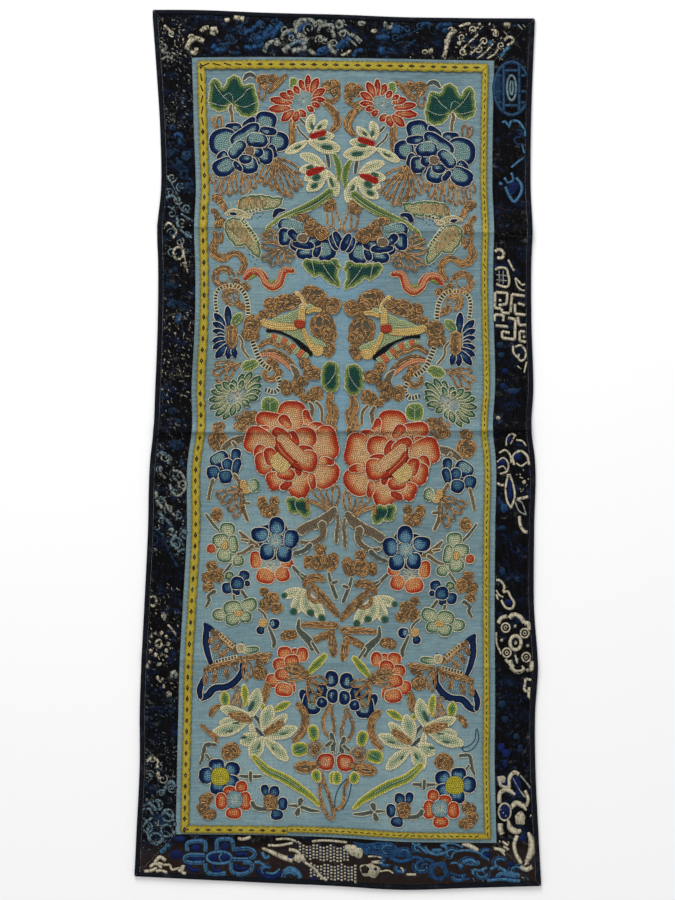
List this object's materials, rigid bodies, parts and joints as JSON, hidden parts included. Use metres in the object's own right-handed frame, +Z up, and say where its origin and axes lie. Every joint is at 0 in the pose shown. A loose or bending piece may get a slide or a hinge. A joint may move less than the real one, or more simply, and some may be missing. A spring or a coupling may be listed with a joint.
{
  "type": "embroidered sleeve panel",
  "caption": "Flat oblong silk panel of joined embroidered bands, trimmed with woven ribbon and framed by a mitred dark brocade border and a narrow folded binding.",
  "frame": {"origin": "centre of the panel's outline, on the surface that it lies on", "axes": "+Y along the panel's length towards its upper end, +X to the right across its width seen from above, +Z up out of its embroidered face"},
  "size_m": [0.2744, 0.5936, 0.0051],
  "materials": {
    "silk": "light blue plain-weave silk, embroidered, aged",
    "ribbon": "golden yellow woven ribbon with small black figures",
    "brocade": "near-black satin brocade with worn cream and blue figures",
    "binding": "dark navy folded cotton binding, matt"
  },
  "bodies": {
    "root": {"band_left": "silk", "band_right": "silk", "ribbon_left": "ribbon", "ribbon_top": "ribbon", "ribbon_bottom_left": "ribbon", "ribbon_right": "ribbon", "ribbon_bottom_right": "ribbon", "border_top": "brocade", "border_left": "brocade", "border_right": "brocade", "border_bottom": "brocade", "binding_top": "binding", "binding_left": "binding", "binding_right": "binding", "binding_bottom": "binding"}
  },
  "joints": []
}
